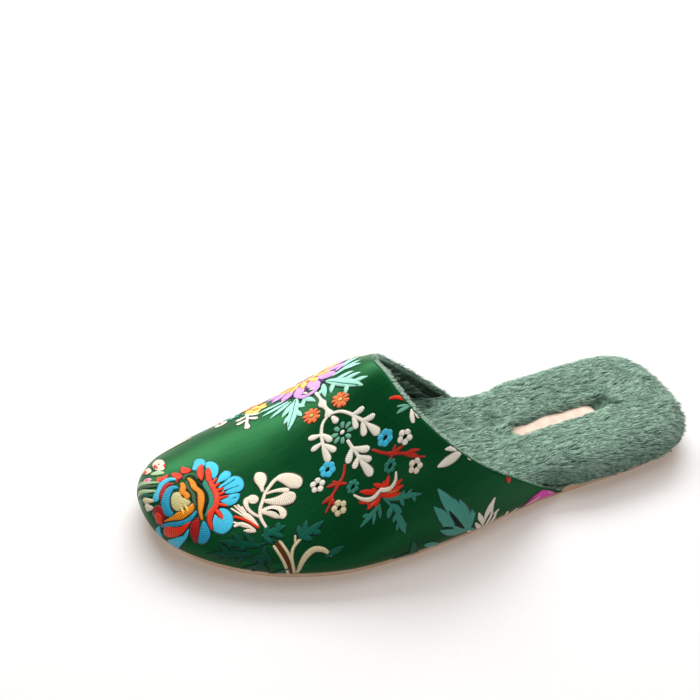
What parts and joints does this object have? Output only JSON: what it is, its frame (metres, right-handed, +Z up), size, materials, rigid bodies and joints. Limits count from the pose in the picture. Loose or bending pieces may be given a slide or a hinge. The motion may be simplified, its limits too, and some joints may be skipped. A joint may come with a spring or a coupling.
{
  "type": "house slipper",
  "caption": "Closed-toe, open-heel house slipper for the left foot, with a hollow upper over a thick padded footbed on a thin flat sole.",
  "frame": {"origin": "on the floor, under the middle of the slipper's bounding box", "axes": "+Z up, toe towards -Y, heel towards +Y, outer (lateral) side of the left foot towards +X; heel and toe tip lie on one line along Y"},
  "size_m": [0.1116, 0.2722, 0.0705],
  "materials": {
    "outsole": "matt tan rubber with a fine grain",
    "plush": "deep combed plush pile, grey-green",
    "label": "bare woven ribbon, pale pink",
    "satin": "dark green satin weave with raised coloured floral embroidery, plush lining"
  },
  "bodies": {
    "root": {"outsole": "outsole", "footbed": "plush", "label": "label", "upper": "satin"}
  },
  "joints": []
}
